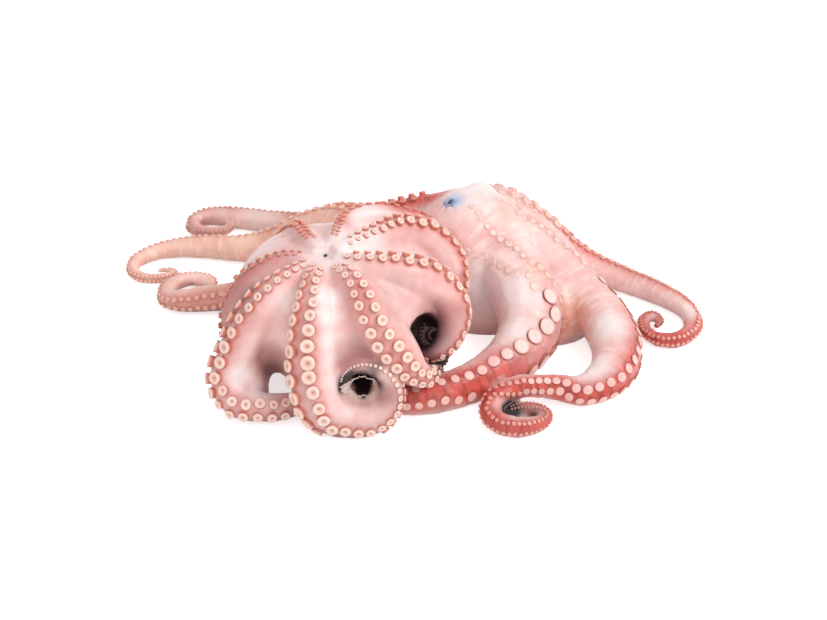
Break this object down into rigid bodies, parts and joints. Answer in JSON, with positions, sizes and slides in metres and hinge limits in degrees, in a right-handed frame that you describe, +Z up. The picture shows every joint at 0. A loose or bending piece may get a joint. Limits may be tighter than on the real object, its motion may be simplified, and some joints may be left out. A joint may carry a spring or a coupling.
{
  "type": "whole octopus",
  "caption": "Whole raw octopus lying mouth side up, its arms draped into a dome in front and curled out along the surface to both sides, with rows of suckers.",
  "frame": {"origin": "under the middle of the whole octopus's box, on the surface that it lies on", "axes": "+X to the right of someone facing the front crown, along the longest extent; +Y away from them, towards the rear crown; +Z up"},
  "size_m": [0.4933, 0.3333, 0.1191],
  "materials": {
    "flesh": "wet, pale pink skin, coral red towards the arm tips, whitish on the webs",
    "sucker": "moist cream discs on orange-brown stalks",
    "mouth": "moist grey-black beak in a whitish ring"
  },
  "bodies": {
    "root": {"octopus": "flesh"}
  },
  "joints": []
}
